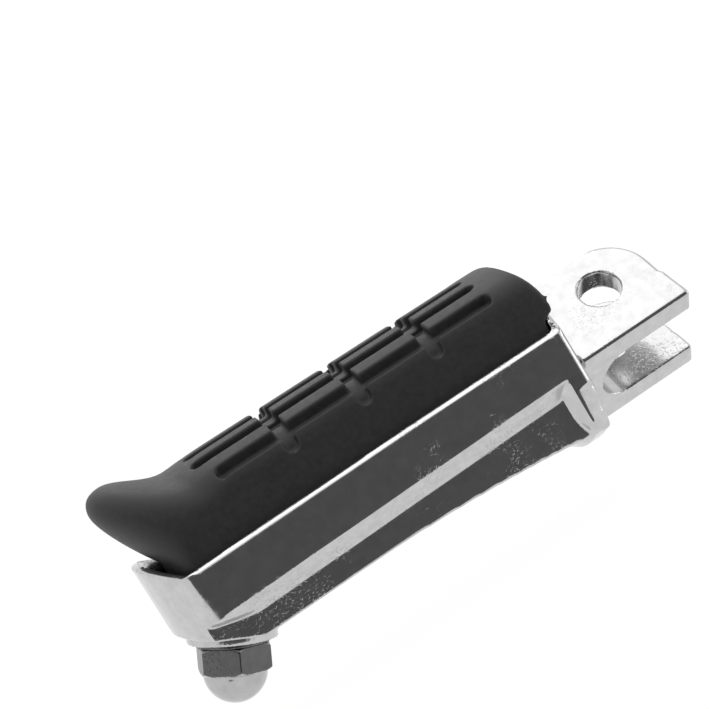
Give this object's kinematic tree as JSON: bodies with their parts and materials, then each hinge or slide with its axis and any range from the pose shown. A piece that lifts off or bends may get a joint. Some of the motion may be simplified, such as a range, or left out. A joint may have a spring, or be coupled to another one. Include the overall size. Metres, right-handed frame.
{
  "type": "foot peg",
  "caption": "Folding motorcycle foot peg: chrome-plated step bar with a two-ear hinge clevis, ribbed rubber tread pad with an upturned toe, and a dome-nut feeler.",
  "frame": {"origin": "centre of the hinge-pin bore, midway between the two ears", "axes": "+X from the hinge towards the toe, +Z the normal of the rubber tread, +Y = Z x X; the hinge axis lies in the YZ plane, 44 degrees up from +Y"},
  "size_m": [0.1353, 0.0406, 0.0561],
  "materials": {
    "chrome_casting": "chrome plated casting, bright edges, slightly sandy faces",
    "tread_rubber": "matt black moulded rubber",
    "bonded_steel": "plain steel, bonded in the rubber",
    "zinc_fastener": "zinc plated",
    "feeler_chrome": "chrome plated steel"
  },
  "bodies": {
    "root": {"step_bar": "chrome_casting", "tread_pad": "tread_rubber", "pad_core_plate": "bonded_steel", "weld_nut_hinge_end": "bonded_steel", "weld_nut_toe_end": "bonded_steel", "pad_screw_hinge_end": "zinc_fastener", "pad_screw_toe_end": "zinc_fastener", "pad_screw_washer_hinge_end": "zinc_fastener", "pad_screw_washer_toe_end": "zinc_fastener", "feeler_stud": "zinc_fastener", "feeler_washer": "feeler_chrome", "feeler_dome_nut": "feeler_chrome"}
  },
  "joints": []
}
